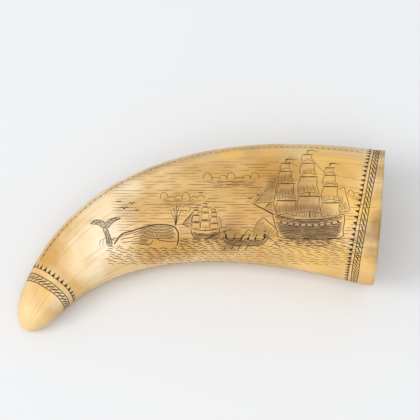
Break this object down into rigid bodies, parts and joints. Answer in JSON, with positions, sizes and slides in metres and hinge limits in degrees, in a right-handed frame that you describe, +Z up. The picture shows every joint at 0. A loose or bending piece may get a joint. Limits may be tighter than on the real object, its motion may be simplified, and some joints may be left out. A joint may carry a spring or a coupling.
{
  "type": "scrimshaw whale tooth",
  "caption": "Curved, tapering whale tooth with a round tip, a sawn root and a pulp hollow, lying on its side, its surface engraved with a traditional whaling scene.",
  "frame": {"origin": "on the surface that the tooth lies on, under the middle of its box", "axes": "+X towards the sawn root, the tip points to -X and curves to -Y, +Z up from the resting surface"},
  "size_m": [0.1632, 0.0828, 0.0456],
  "materials": {
    "ivory": "polished whale ivory, aged cream to amber, with engraved lines filled with dark ink"
  },
  "bodies": {
    "root": {"tooth": "ivory"}
  },
  "joints": []
}
